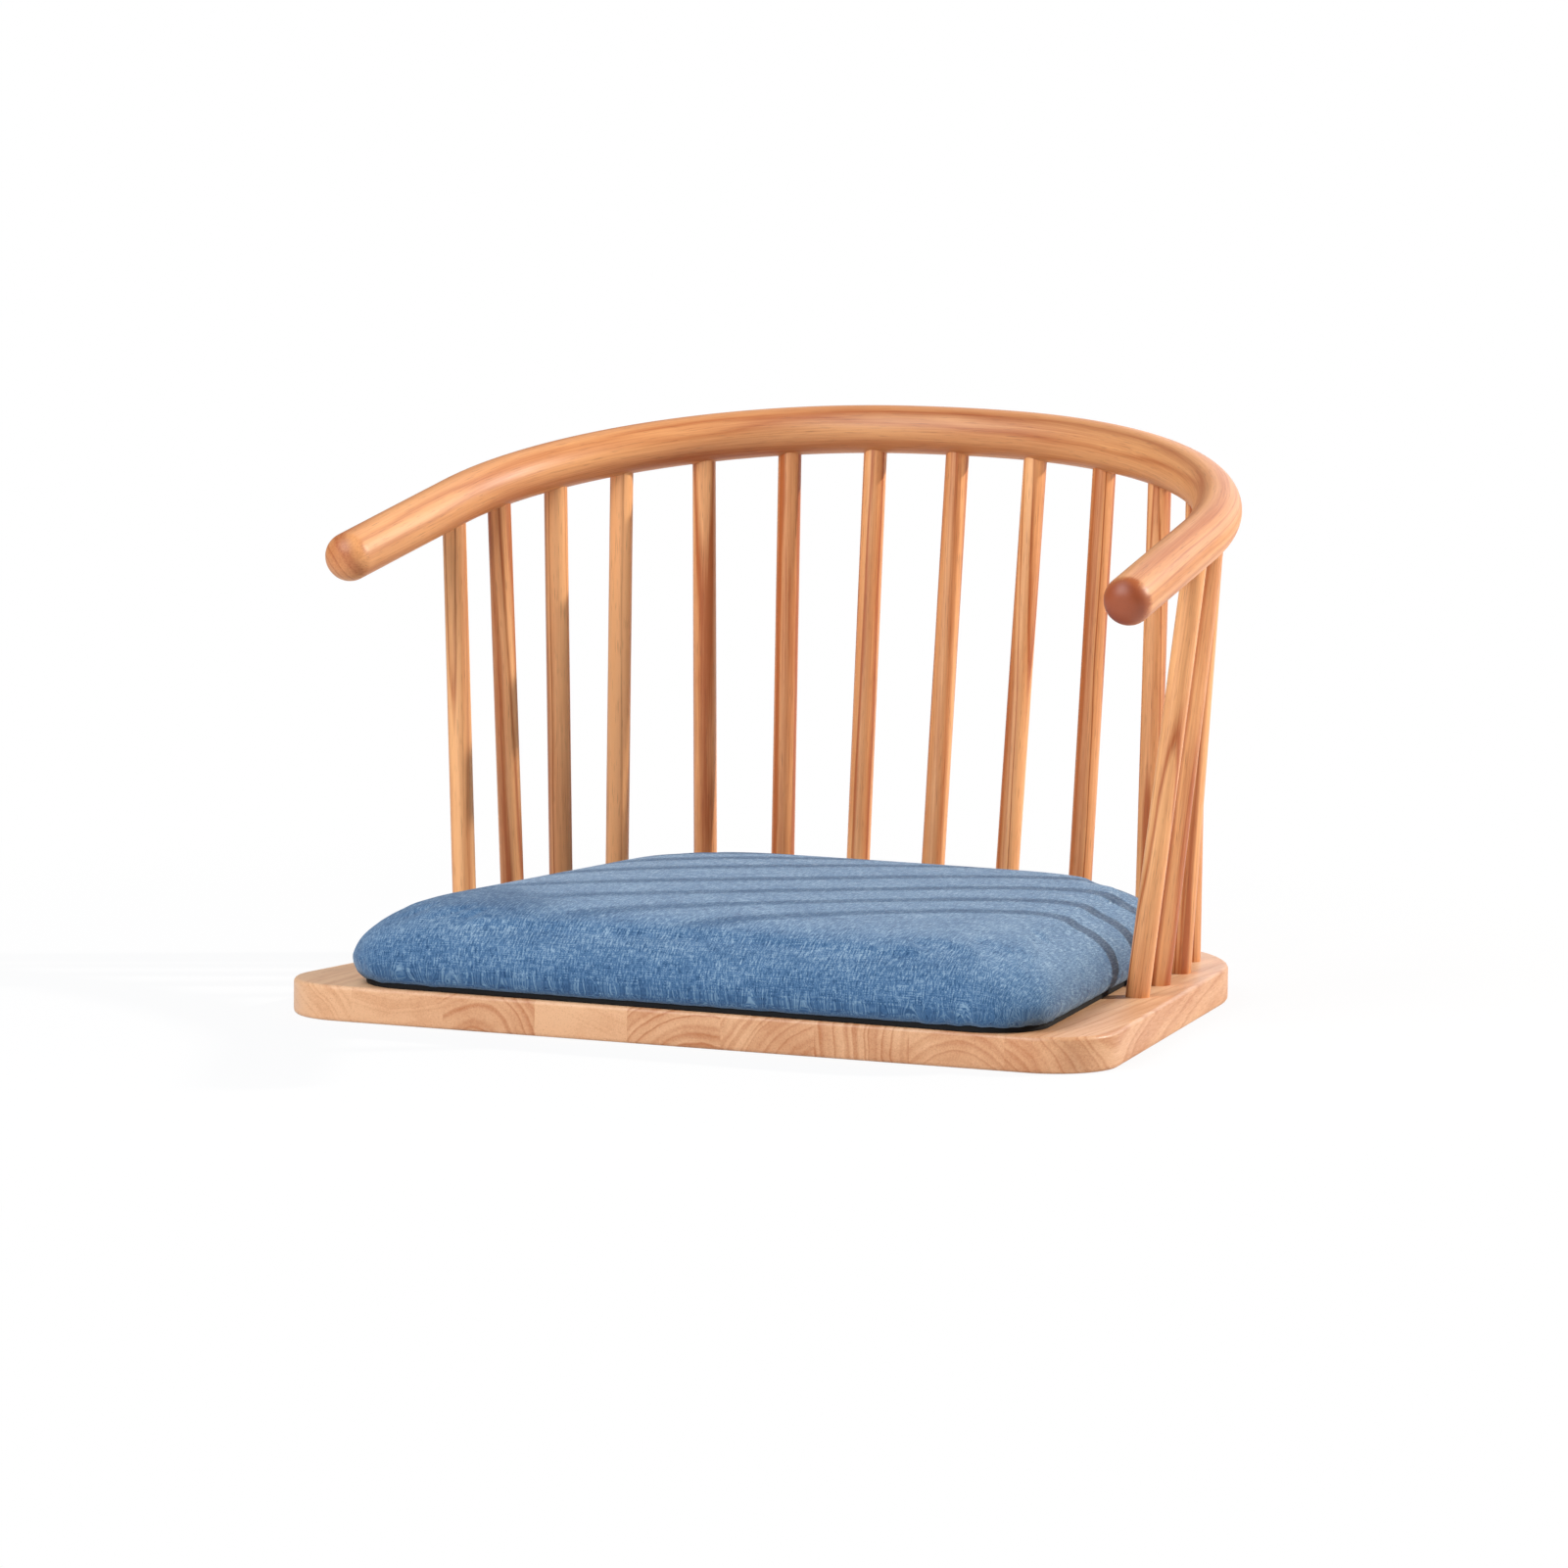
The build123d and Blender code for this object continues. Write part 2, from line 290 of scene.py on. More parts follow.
def makeWood(name, look):
    material, tree = newMaterial(name)
    grain = addNode(tree, "ShaderNodeAttribute", {"attribute_name": "grain"})
    tone = addNode(tree, "ShaderNodeAttribute", {"attribute_name": "tone"})
    cut = addNode(tree, "ShaderNodeAttribute", {"attribute_name": "endGrain"})
    figure = addNode(tree, "ShaderNodeAttribute", {"attribute_name": "figure"})

    # Growth rings round the heart, with a slow wander that is long along the grain
    slow = addNode(tree, "ShaderNodeVectorMath", {"operation": "MULTIPLY"},
                   {1: woodFigure["wander"]}, {0: grain.outputs["Vector"]})
    wander = addNode(tree, "ShaderNodeTexNoise", None, {"Scale": 1.0, "Detail": 2.5},
                     {"Vector": slow.outputs[0]})
    reach = woodFigure["wanderBy"]
    shift = addNode(tree, "ShaderNodeVectorMath", {"operation": "MULTIPLY_ADD"},
                    {1: (reach, reach, 0), 2: (-reach / 2, -reach / 2, 0)},
                    {0: wander.outputs["Color"]})
    bent = addNode(tree, "ShaderNodeVectorMath", {"operation": "ADD"}, None,
                   {0: grain.outputs["Vector"], 1: shift.outputs[0]})
    across = addNode(tree, "ShaderNodeVectorMath", {"operation": "MULTIPLY"},
                     {1: (1, 1, 0)}, {0: bent.outputs[0]})
    radius = addNode(tree, "ShaderNodeVectorMath", {"operation": "LENGTH"}, None,
                     {0: across.outputs[0]})
    often, strongly = woodFigure["unevenRings"]
    uneven = addNode(tree, "ShaderNodeTexNoise", {"noise_dimensions": "1D"},
                     {"Scale": often, "Detail": 1.0}, {"W": radius.outputs["Value"]})
    spread = addNode(tree, "ShaderNodeMath", {"operation": "MULTIPLY"},
                     {1: strongly}, {0: uneven.outputs[0]})
    turns = addNode(tree, "ShaderNodeMath", {"operation": "MULTIPLY_ADD"},
                    {1: 1 / look["ring"]}, {0: radius.outputs["Value"], 2: spread.outputs[0]})
    phase = addNode(tree, "ShaderNodeMath", {"operation": "FRACT"}, None, {0: turns.outputs[0]})
    ring = addNode(tree, "ShaderNodeValToRGB", None, None, {0: phase.outputs[0]})
    setStops(ring, [(place, (value, value, value, 1.0)) for place, value in woodFigure["ringStops"]])

    # Fibre, pores and broad clouds
    fibreAt = addNode(tree, "ShaderNodeVectorMath", {"operation": "MULTIPLY"},
                      {1: woodFigure["fibre"]}, {0: grain.outputs["Vector"]})
    fibre = addNode(tree, "ShaderNodeTexNoise", None,
                    {"Scale": 1.0, "Detail": 3.0, "Roughness": 0.6}, {"Vector": fibreAt.outputs[0]})
    poreAt = addNode(tree, "ShaderNodeVectorMath", {"operation": "MULTIPLY"},
                     {1: woodFigure["pores"]}, {0: grain.outputs["Vector"]})
    pores = addNode(tree, "ShaderNodeTexNoise", None, {"Scale": 1.0, "Detail": 1.5},
                    {"Vector": poreAt.outputs[0]})
    poreLow, poreHigh = woodFigure["poreBand"]
    poreShow = addNode(tree, "ShaderNodeMapRange", None,
                       {"From Min": poreLow, "From Max": poreHigh}, {"Value": pores.outputs[0]})
    cloudAt = addNode(tree, "ShaderNodeVectorMath", {"operation": "MULTIPLY"},
                      {1: woodFigure["clouds"]}, {0: bent.outputs[0]})
    cloud = addNode(tree, "ShaderNodeTexNoise", None, {"Scale": 1.0, "Detail": 2.0},
                    {"Vector": cloudAt.outputs[0]})

    # All of them, and the timber's own tone, between the light colour and the dark one
    ringShade = addNode(tree, "ShaderNodeMath", {"operation": "MULTIPLY"},
                        {1: look["ringShare"]}, {0: ring.outputs[0]})
    ringPart = addNode(tree, "ShaderNodeMath", {"operation": "MULTIPLY"}, None,
                       {0: ringShade.outputs[0], 1: figure.outputs["Fac"]})
    strength, move = woodFigure["fibreShade"]
    fibrePart = addNode(tree, "ShaderNodeMath", {"operation": "MULTIPLY_ADD"},
                        {1: strength, 2: move}, {0: fibre.outputs[0]})
    strength, move = woodFigure["cloudShade"]
    cloudPart = addNode(tree, "ShaderNodeMath", {"operation": "MULTIPLY_ADD"},
                        {1: strength, 2: move}, {0: cloud.outputs[0]})
    fineParts = addNode(tree, "ShaderNodeMath", {"operation": "ADD"}, None,
                        {0: ringPart.outputs[0], 1: fibrePart.outputs[0]})
    allParts = addNode(tree, "ShaderNodeMath", {"operation": "ADD"}, None,
                       {0: fineParts.outputs[0], 1: cloudPart.outputs[0]})
    toned = addNode(tree, "ShaderNodeMath", {"operation": "ADD", "use_clamp": True}, None,
                    {0: allParts.outputs[0], 1: tone.outputs["Fac"]})
    body = addNode(tree, "ShaderNodeMix", {"data_type": "RGBA"},
                   {6: linearColour(look["light"]), 7: linearColour(look["dark"])},
                   {0: toned.outputs[0]})
    poreFade = addNode(tree, "ShaderNodeMath", {"operation": "MULTIPLY"},
                       {1: look["poreShare"]}, {0: poreShow.outputs[0]})
    dotted = addNode(tree, "ShaderNodeMix", {"data_type": "RGBA"},
                     {7: linearColour(look["pore"])}, {0: poreFade.outputs[0], 6: body.outputs[2]})
    soaked = addNode(tree, "ShaderNodeMix", {"data_type": "RGBA", "blend_type": "MULTIPLY"},
                     {7: linearColour(look["endTint"])},
                     {0: cut.outputs["Fac"], 6: dotted.outputs[2]})

    glossSpread = woodFigure["glossSpread"]
    gloss = addNode(tree, "ShaderNodeMath", {"operation": "MULTIPLY_ADD"},
                    {1: glossSpread, 2: look["rough"] - glossSpread / 2}, {0: fibre.outputs[0]})
    strength, depth = woodFigure["relief"]
    bump = addNode(tree, "ShaderNodeBump", None, {"Strength": strength, "Distance": depth},
                   {"Height": fibre.outputs[0]})
    shader = addNode(tree, "ShaderNodeBsdfPrincipled", None,
                     {"IOR": 1.5, "Coat Weight": look["coat"], "Coat Roughness": look["coatRough"]},
                     {"Base Color": soaked.outputs[2], "Roughness": gloss.outputs[0],
                      "Normal": bump.outputs[0]})
    addNode(tree, "ShaderNodeOutputMaterial", None, None, {"Surface": shader.outputs[0]})
    return material


woods = {name: makeWood(name, look) for name, look in woodLooks.items()}


# Cloth. A linen-like plain weave of yarns dyed in slightly different blues: light and dark
# slubs run both ways, most of them front to back, and the face is dull with a sheen of loose
# fibre at grazing angles. Shade is painted on it, darker towards the hem where it turns under.
# Yarns are drawn 1.15 mm apart, nearly twice as coarse as real ones, so that they still show.

clothLook = {
    "dark": "284C72", "middle": "53799E", "light": "9AB4C8",
    "stops": (0.35, 0.5, 0.63),      # where those three stand on the noise
    # painted shade: the colour that darkens the cloth towards the hem
    "hemPaintedShade": "C0D5E4",
    "yarn": 1.15, "slub": 11.0,      # width and length in mm
    "crossing": 0.25,                # how softly one yarn goes under the next
    "streakWide": 1.3, "streakLong": 7.0, "streakShare": 0.42,
    "patch": 34.0, "patchShare": 0.16,
    "rough": 0.88, "sheen": 0.4, "sheenRough": 0.4, "sheenTint": "DCE8F2",
    "relief": (0.45, 0.0004),        # strength and depth of the yarns
    "slubRelief": 0.6,
}


def makeCloth():
    material, tree = newMaterial("wovenSlateBlueLinen")
    cloth = addNode(tree, "ShaderNodeAttribute", {"attribute_name": "cloth"})

    # Warp and weft, each drawn out along its own way, over and under each other
    fast, slow = 1 / clothLook["yarn"], 1 / clothLook["slub"]
    strands = []
    for scale in ((fast, slow, 0), (slow, fast, 0)):
        stretched = addNode(tree, "ShaderNodeVectorMath", {"operation": "MULTIPLY"},
                            {1: scale}, {0: cloth.outputs["Vector"]})
        strands.append(addNode(tree, "ShaderNodeTexNoise", None,
                               {"Scale": 1.0, "Detail": 2.0, "Roughness": 0.6},
                               {"Vector": stretched.outputs[0]}))
    angle = addNode(tree, "ShaderNodeVectorMath", {"operation": "SCALE"},
                    {"Scale": math.pi * fast}, {0: cloth.outputs["Vector"]})
    wave = addNode(tree, "ShaderNodeVectorMath", {"operation": "SINE"}, None, {0: angle.outputs[0]})
    parts = addNode(tree, "ShaderNodeSeparateXYZ", None, None, {0: wave.outputs[0]})
    cross = addNode(tree, "ShaderNodeMath", {"operation": "MULTIPLY"}, None,
                    {0: parts.outputs[0], 1: parts.outputs[1]})
    over = addNode(tree, "ShaderNodeMapRange", None,
                   {"From Min": -clothLook["crossing"], "From Max": clothLook["crossing"]},
                   {"Value": cross.outputs[0]})
    yarn = addNode(tree, "ShaderNodeMix", {"data_type": "FLOAT"}, None,
                   {0: over.outputs[0], 2: strands[0].outputs[0], 3: strands[1].outputs[0]})

    # Longer streaks front to back, and broad uneven patches of dye
    streakSize = (1 / clothLook["streakWide"], 1 / clothLook["streakLong"], 0)
    streakAt = addNode(tree, "ShaderNodeVectorMath", {"operation": "MULTIPLY"},
                       {1: streakSize}, {0: cloth.outputs["Vector"]})
    streak = addNode(tree, "ShaderNodeTexNoise", None,
                     {"Scale": 1.0, "Detail": 2.0, "Roughness": 0.6}, {"Vector": streakAt.outputs[0]})
    both = addNode(tree, "ShaderNodeMix", {"data_type": "FLOAT"}, {0: clothLook["streakShare"]},
                   {2: yarn.outputs[0], 3: streak.outputs[0]})
    patchAt = addNode(tree, "ShaderNodeVectorMath", {"operation": "SCALE"},
                      {"Scale": 1 / clothLook["patch"]}, {0: cloth.outputs["Vector"]})
    patch = addNode(tree, "ShaderNodeTexNoise", None,
                    {"Scale": 1.0, "Detail": 3.0, "Roughness": 0.6}, {"Vector": patchAt.outputs[0]})
    patchPart = addNode(tree, "ShaderNodeMath", {"operation": "MULTIPLY_ADD"},
                        {1: clothLook["patchShare"], 2: -clothLook["patchShare"] / 2},
                        {0: patch.outputs[0]})
    varied = addNode(tree, "ShaderNodeMath", {"operation": "ADD"}, None,
                     {0: both.outputs[0], 1: patchPart.outputs[0]})
    colour = addNode(tree, "ShaderNodeValToRGB", None, None, {0: varied.outputs[0]})
    shades = [linearColour(clothLook[shade]) for shade in ("dark", "middle", "light")]
    setStops(colour, list(zip(clothLook["stops"], shades)))
    # Painted shade: the cloth is darkened towards the hem, where the rolled edge shades it
    hem = addNode(tree, "ShaderNodeAttribute", {"attribute_name": "hem"})
    withPaintedShade = addNode(tree, "ShaderNodeMix", {"data_type": "RGBA", "blend_type": "MULTIPLY"},
                     {7: linearColour(clothLook["hemPaintedShade"])},
                     {0: hem.outputs["Fac"], 6: colour.outputs[0]})

    bulge = addNode(tree, "ShaderNodeMath", {"operation": "ABSOLUTE"}, None, {0: cross.outputs[0]})
    height = addNode(tree, "ShaderNodeMath", {"operation": "MULTIPLY_ADD"},
                     {1: clothLook["slubRelief"]}, {0: yarn.outputs[0], 2: bulge.outputs[0]})
    strength, depth = clothLook["relief"]
    bump = addNode(tree, "ShaderNodeBump", None, {"Strength": strength, "Distance": depth},
                   {"Height": height.outputs[0]})
    shader = addNode(tree, "ShaderNodeBsdfPrincipled", None,
                     {"Roughness": clothLook["rough"], "IOR": 1.45, "Specular IOR Level": 0.3,
                      "Sheen Weight": clothLook["sheen"], "Sheen Roughness": clothLook["sheenRough"],
                      "Sheen Tint": linearColour(clothLook["sheenTint"])},
                     {"Base Color": withPaintedShade.outputs[2], "Normal": bump.outputs[0]})
    addNode(tree, "ShaderNodeOutputMaterial", None, None, {"Surface": shader.outputs[0]})
    return material


# Small or hidden materials. Needled felt is a matt, nearly black mat of short fibres; its colours
# are darker than real felt so that it also paints the shade in the gap under the pad's edge. Raw birch
# plywood is pale, with fine long grain and no gloss. Galvanised wire is dull grey metal.

plainLooks = {
    # pattern: marks per metre along X, Y and Z
    "blackFeltWithPaintedShade": {
        # painted shade: near-black colours that also stand in for the shade under the pad's edge
        "dark": "040405", "light": "0C0C0E", "pattern": (900, 900, 300), "rough": 0.95, "metal": 0.0,
    },
    "rawBirchPlywood": {
        "dark": "B8935F", "light": "D9BC8C", "pattern": (40, 400, 900), "rough": 0.75, "metal": 0.0,
    },
    "galvanisedStapleWire": {
        "dark": "8C8F93", "light": "B9BCC0", "pattern": (300, 300, 300), "rough": 0.35, "metal": 1.0,
    },
}
plainStops = (0.35, 0.68)        # where the dark and the light colour stand on the noise
plainRelief = (0.5, 0.0002)      # strength and depth


def makePlain(name, look):
    material, tree = newMaterial(name)
    place = addNode(tree, "ShaderNodeTexCoord")
    stretched = addNode(tree, "ShaderNodeMapping", None, {"Scale": look["pattern"]},
                        {"Vector": place.outputs["Object"]})
    speckle = addNode(tree, "ShaderNodeTexNoise", None,
                      {"Scale": 1.0, "Detail": 4.0, "Roughness": 0.65},
                      {"Vector": stretched.outputs[0]})
    colour = addNode(tree, "ShaderNodeValToRGB", None, None, {0: speckle.outputs[0]})
    setStops(colour, list(zip(plainStops, (linearColour(look["dark"]), linearColour(look["light"])))))
    strength, depth = plainRelief
    bump = addNode(tree, "ShaderNodeBump", None, {"Strength": strength, "Distance": depth},
                   {"Height": speckle.outputs[0]})
    shader = addNode(tree, "ShaderNodeBsdfPrincipled", None,
                     {"Roughness": look["rough"], "Metallic": look["metal"]},
                     {"Base Color": colour.outputs[0], "Normal": bump.outputs[0]})
    addNode(tree, "ShaderNodeOutputMaterial", None, None, {"Surface": shader.outputs[0]})
    return material


clothMaterial = makeCloth()
plains = {name: makePlain(name, look) for name, look in plainLooks.items()}
print("materials made")


# Outlines of the board and the pad, drawn as the CAD draws them

boardSize = {
    "frontWidth": 0.600,
    "rearWidth": 0.470,
    "depth": 0.450,
    "rearBow": 0.007,
    "thickness": 0.024,
    "frontRadius": 0.045,
    "rearRadius": 0.125,
    "edgeRound": 0.003,
    "roundSteps": 4,
    "staves": 9,
    "sharp": 35,             # degrees from which shading shows an edge
    "logApart": 3000,        # mm between the staves' places in one log, so that none match
}
ringSteps = {"back": 8, "rearCorner": 16, "side": 12, "frontCorner": 12, "front": 16}
rearY = boardSize["depth"] / 2
frontY = -rearY
sideTaper = (boardSize["frontWidth"] - boardSize["rearWidth"]) / 2
sideSlope = sideTaper / (boardSize["depth"] - boardSize["rearBow"])
sideAngle = math.atan(sideSlope)
rearArc = ((boardSize["rearWidth"] / 2) ** 2 + boardSize["rearBow"] ** 2) / (2 * boardSize["rearBow"])


def halfWidthAt(y, inset):
    return boardSize["frontWidth"] / 2 - (y - frontY) * sideSlope - inset / math.cos(sideAngle)


def sideMeetsArc(halfWidth, arcRadius, arcY):
    square = 1 + sideSlope ** 2
    middle = halfWidth * sideSlope + arcY
    rest = halfWidth ** 2 + arcY ** 2 - arcRadius ** 2
    return (middle + math.sqrt(middle ** 2 - square * rest)) / square


def turnOn(bm, vertex, centre, angle, steps):
    made = bmesh.ops.spin(bm, geom=[vertex], cent=centre, axis=(0, 0, -1), angle=angle, steps=steps)
    return [item for item in made["geom_last"] if isinstance(item, bmesh.types.BMVert)][0]


def runOn(bm, vertex, place, steps):
    start, end = vertex.co.copy(), Vector(place)
    for step in range(1, steps + 1):
        vertex = bmesh.ops.extrude_vert_indiv(bm, verts=[vertex])["verts"][0]
        vertex.co = start.lerp(end, step / steps)
    return vertex


def outlineRing(bm, inset, frontInset, frontRadius, rearRadius, z):
    earlier = set(bm.edges)
    arcY = rearY - rearArc
    arcRadius = rearArc - inset
    rearCentreY = sideMeetsArc(halfWidthAt(0, inset + rearRadius), arcRadius - rearRadius, arcY)
    rearCentre = Vector((halfWidthAt(rearCentreY, inset + rearRadius), rearCentreY, z))
    frontCentreY = frontY + frontInset + frontRadius
    frontCentre = Vector((halfWidthAt(frontCentreY, inset + frontRadius), frontCentreY, z))
    backTurn = math.atan2(rearCentre.x, rearCentre.y - arcY)
    toSide = math.pi / 2 - sideAngle
    outward = Vector((math.cos(sideAngle), math.sin(sideAngle), 0))
    vertex = bm.verts.new((0, arcY + arcRadius, z))
    vertex = turnOn(bm, vertex, (0, arcY, z), backTurn, ringSteps["back"])
    vertex = turnOn(bm, vertex, rearCentre, toSide - backTurn, ringSteps["rearCorner"])
    vertex = runOn(bm, vertex, frontCentre + outward * frontRadius, ringSteps["side"])
    vertex = turnOn(bm, vertex, frontCentre, math.pi - toSide, ringSteps["frontCorner"])
    runOn(bm, vertex, (0, frontY + frontInset, z), ringSteps["front"])
    half = [edge for edge in bm.edges if edge not in earlier]
    geometry = half + list({vertex for edge in half for vertex in edge.verts})
    bmesh.ops.mirror(bm, geom=geometry, matrix=Matrix.Identity(4), merge_dist=samePlace, axis="X")
    return [edge for edge in bm.edges if edge not in earlier]


# Seat board: one rounded slab, parted into staves. Each stave has its own heart of the tree:
# sideways from the stave's middle, height above the board's middle, and a slant along the
# grain, all in mm, its tone (below 0 is paler), and how strongly its rings show. They follow
# the arcs seen on the photo's front edge. The tones differ as timber does, and also carry
# painted light: the first two staves are paler as a painted reflection on the board's top at
# the left, and the last one is darker as painted shadow of the spindles on its top at the right.

staveLooks = [
    # (heart sideways, heart up, slant, tone, figure)
    # the first two tones are paler and the last one darker partly as painted light on the board's top
    (-40, -60, 0.02, -0.3, 0.7),
    (10, 120, 0.05, -0.06, 0.5),
    (-20, -20, -0.04, 0.08, 1.1),
    (70, 150, 0.03, -0.12, 0.3),
    (34, -60, 0.05, 0.12, 1.4),
    (48, -50, -0.03, 0.06, 0.9),
    (90, 0, 0.02, 0.1, 1.2),
    (10, -46, 0.04, 0.04, 0.8),
    (-60, -34, -0.03, 0.2, 0.8),
]


def makeBoard():
    bm = bmesh.new()
    ring = outlineRing(bm, 0, 0, boardSize["frontRadius"], boardSize["rearRadius"], 0)
    raiseSlab(bm, ring, boardSize["thickness"])
    roundOff(bm, levelArrises(bm), boardSize["edgeRound"], boardSize["roundSteps"])
    bm.normal_update()
    cut = bm.verts.layers.float.new("endGrain")
    for vertex in bm.verts:
        vertex[cut] = abs(vertex.normal.y)
    return bm


def cutAt(bm, x, side):
    everything = bm.verts[:] + bm.edges[:] + bm.faces[:]
    made = bmesh.ops.bisect_plane(bm, geom=everything, plane_co=(x, 0, 0), plane_no=(side, 0, 0),
                                  clear_outer=True)
    seam = [item for item in made["geom_cut"] if isinstance(item, bmesh.types.BMEdge)]
    bmesh.ops.contextual_create(bm, geom=seam)


def makeStaves():
    board = makeBoard()
    width = boardSize["frontWidth"] / boardSize["staves"]
    for number, (sideways, up, slant, tone, figure) in enumerate(staveLooks):
        low = -boardSize["frontWidth"] / 2 + number * width
        middle = Vector((low + width / 2, 0, boardSize["thickness"] / 2))
        bm = board.copy()
        if number > 0:
            cutAt(bm, low, -1)
        if number < boardSize["staves"] - 1:
            cutAt(bm, low + width, 1)
        grain = bm.verts.layers.float_vector.new("grain")
        toneLayer = bm.verts.layers.float.new("tone")
        figureLayer = bm.verts.layers.float.new("figure")
        for vertex in bm.verts:
            x, y, z = (vertex.co - middle) * 1000
            vertex[grain] = (x - sideways - slant * y, z - up + 0.5 * slant * y,
                             y + boardSize["logApart"] * number)
            vertex[toneLayer] = tone
            vertex[figureLayer] = figure
        makePiece(f"staveDressed_{number + 1}", bm, woods["lacqueredSeatHardwood"], "frame",
                  [f"seat_stave_{number + 1}"], boardSize["sharp"])
    board.free()


makeStaves()
print("board made")


# Rail: a straight bar with domed ends, then bent, as the real one is steamed and bent

railSize = {
    "radius": 0.0165,
    "backHeight": 0.365,
    "backY": 0.242,
    "fall": 9.9,
    "backRadius": 0.427,
    "backAngle": 6.0,
    "sideRadius": 0.253,
    "sideAngle": 80.5,
    "arm": 0.160,
    "nose": 0.014,
    "segments": 64,
    "cuts": 220,
    "noseSteps": 10,
    "heart": (38, -30),      # heart of the tree from the bar's middle, mm
    "logPlace": 400,         # the bar's place along the log, mm
    "paintedSheenTone": 0.18,        # painted sheen: a darker stretch where the lacquer's haze shows less than on the arms; its middle and length along the bar
    "paintedSheenPlace": -0.1,
    "paintedSheenRun": 0.2,
    "endTones": (0.1, 1.6),  # the sitter's left arm ends the darker
    "endCut": (0.5, 2.2),    # how far each end soaks up the lacquer
}
backRun = railSize["backRadius"] * math.radians(railSize["backAngle"])
sideRun = railSize["sideRadius"] * math.radians(railSize["sideAngle"])
railReach = backRun + sideRun + railSize["arm"]


def bendPlace(across, up, along):
    # The bar's own (outwards, up, along) to its place in the chair
    backRadius, sideRadius = railSize["backRadius"], railSize["sideRadius"]
    side, run = (1 if along >= 0 else -1), abs(along)
    backTurn = math.radians(railSize["backAngle"])
    if run <= backRun:
        turn = run / backRadius
        x = backRadius * math.sin(turn)
        y = -backRadius * (1 - math.cos(turn))
    else:
        x = backRadius * math.sin(backTurn)
        y = -backRadius * (1 - math.cos(backTurn))
        turn = backTurn + min(run - backRun, sideRun) / sideRadius
        x += sideRadius * (math.sin(turn) - math.sin(backTurn))
        y -= sideRadius * (math.cos(backTurn) - math.cos(turn))
        straight = max(run - backRun - sideRun, 0)
        x += straight * math.cos(turn)
        y -= straight * math.sin(turn)
    x += across * math.sin(turn)
    y += across * math.cos(turn)
    fall = math.radians(railSize["fall"])
    return Vector((side * x, railSize["backY"] + y * math.cos(fall) - up * math.sin(fall),
                   railSize["backHeight"] + y * math.sin(fall) + up * math.cos(fall)))


def makeRail():
    bm = bmesh.new()
    bmesh.ops.create_cone(bm, cap_ends=True, segments=railSize["segments"],
                          radius1=railSize["radius"], radius2=railSize["radius"], depth=2 * railReach)
    roundOff(bm, arrises(bm), railSize["nose"], railSize["noseSteps"])
    lengthwise = [edge for edge in bm.edges if edge.calc_length() > railReach]
    bmesh.ops.subdivide_edges(bm, edges=lengthwise, cuts=railSize["cuts"])
    bm.normal_update()
    cut = bm.verts.layers.float.new("endGrain")
    grain = bm.verts.layers.float_vector.new("grain")
    tone = bm.verts.layers.float.new("tone")
    figure = bm.verts.layers.float.new("figure")
    heartX, heartZ = railSize["heart"]
    for vertex in bm.verts:
        across, up, along = vertex.co
        end = 0 if along < 0 else 1
        vertex[cut] = railSize["endCut"][end] * abs(vertex.normal.z) ** 2
        nose = max(0.0, (abs(along) - railReach + railSize["nose"]) / railSize["nose"])
        vertex[grain] = (1000 * across - heartX, 1000 * up - heartZ,
                         1000 * along + railSize["logPlace"])
        # Painted sheen: the back of the bar is darkened so that the arms read lighter, as the
        # lacquer's haze makes them
        paintedSheen = math.exp(-((along - railSize["paintedSheenPlace"]) / railSize["paintedSheenRun"]) ** 2)
        vertex[tone] = railSize["paintedSheenTone"] * paintedSheen + railSize["endTones"][end] * nose
        vertex[figure] = 1.0
    for vertex in bm.verts:
        vertex.co = bendPlace(*vertex.co)
    makePiece("bentRail", bm, woods["lacqueredRailHardwood"], "frame", ["bow_rail"])


makeRail()
print("rail made")


# Spindles: turned dowels on the CAD's own axes, each from its own stick

spindleSize = {
    "radius": 0.008,
    "segments": 40,
    "cuts": 24,
    "chamfer": 0.001,
    "chamferSteps": 2,
    "sanding": 0.00008,      # unevenness left by hand sanding, and its length in mm
    "sandingRun": 60,
    "heart": (8, 26),        # nearest and furthest heart of the tree, mm
    "lean": 0.03,            # most slant of the grain
    "logApart": 700,         # mm between the sticks' places in one log
    "endBand": 0.003,        # points of the CAD spindle this near its end are its end ring
    "sharp": 40,
}
# Tone of each stick, below 0 is paler, from the sitter's right arm round to the left
spindleTones = [-0.3, 0.12, 0.0, -0.4, -0.05, 0.32, 0.1, -0.06,
                0.0, 0.08, 0.06, 0.2, 0.1, 0.18, 0.02]


def endMiddle(points, level):
    ring = {tuple(round(value, 6) for value in point) for point in points
            if abs(point.z - level) < spindleSize["endBand"]}
    return sum((Vector(point) for point in ring), Vector()) / len(ring)


